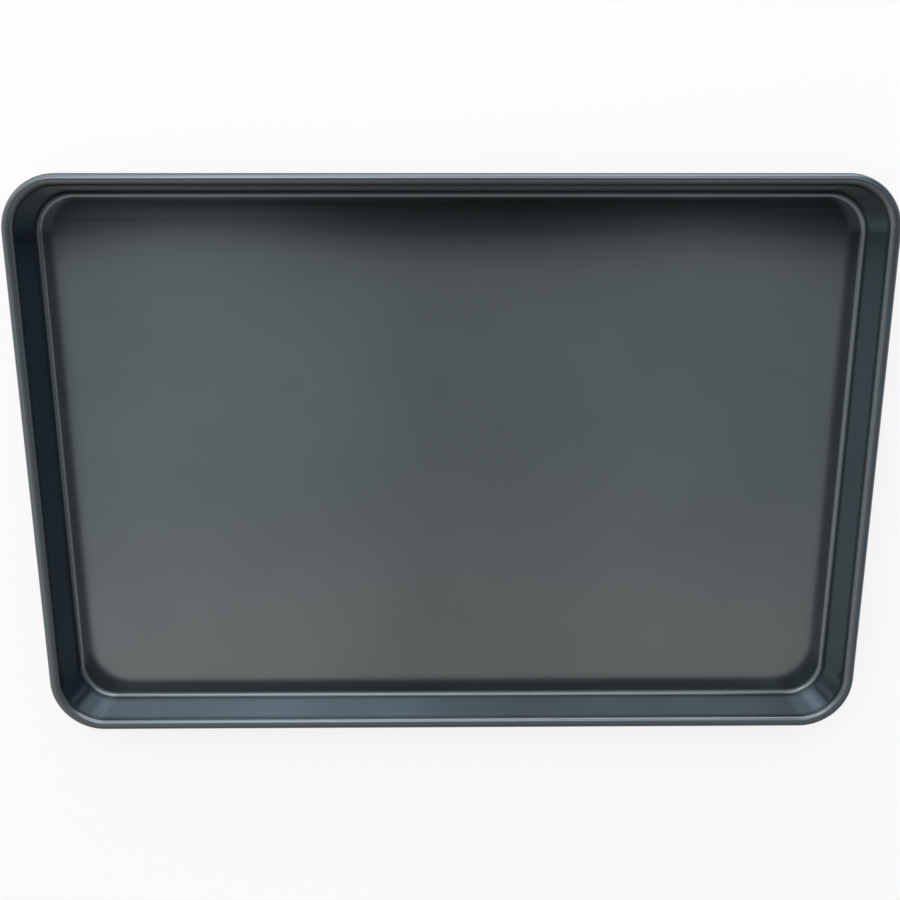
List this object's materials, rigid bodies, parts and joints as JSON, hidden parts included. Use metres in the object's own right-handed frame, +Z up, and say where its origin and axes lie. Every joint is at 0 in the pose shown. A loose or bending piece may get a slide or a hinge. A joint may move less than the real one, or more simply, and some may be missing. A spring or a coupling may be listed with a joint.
{
  "type": "cookie sheet",
  "caption": "Rectangular rimmed cookie sheet: a shallow pressed-steel tray with rounded corners, leaning walls, a rolled rim over a wire and a dark non-stick coating.",
  "frame": {"origin": "middle of the underside, on the surface that the tray stands on", "axes": "+X along the long sides, +Y along the short sides, +Z up out of the tray"},
  "size_m": [0.44, 0.295, 0.026],
  "materials": {
    "nonstick_coating": "satin dark blue-grey non-stick coating on steel sheet",
    "rim_wire_steel": "drawn bare steel wire"
  },
  "bodies": {
    "root": {"pressed_tray": "nonstick_coating", "rim_wire": "rim_wire_steel"}
  },
  "joints": []
}
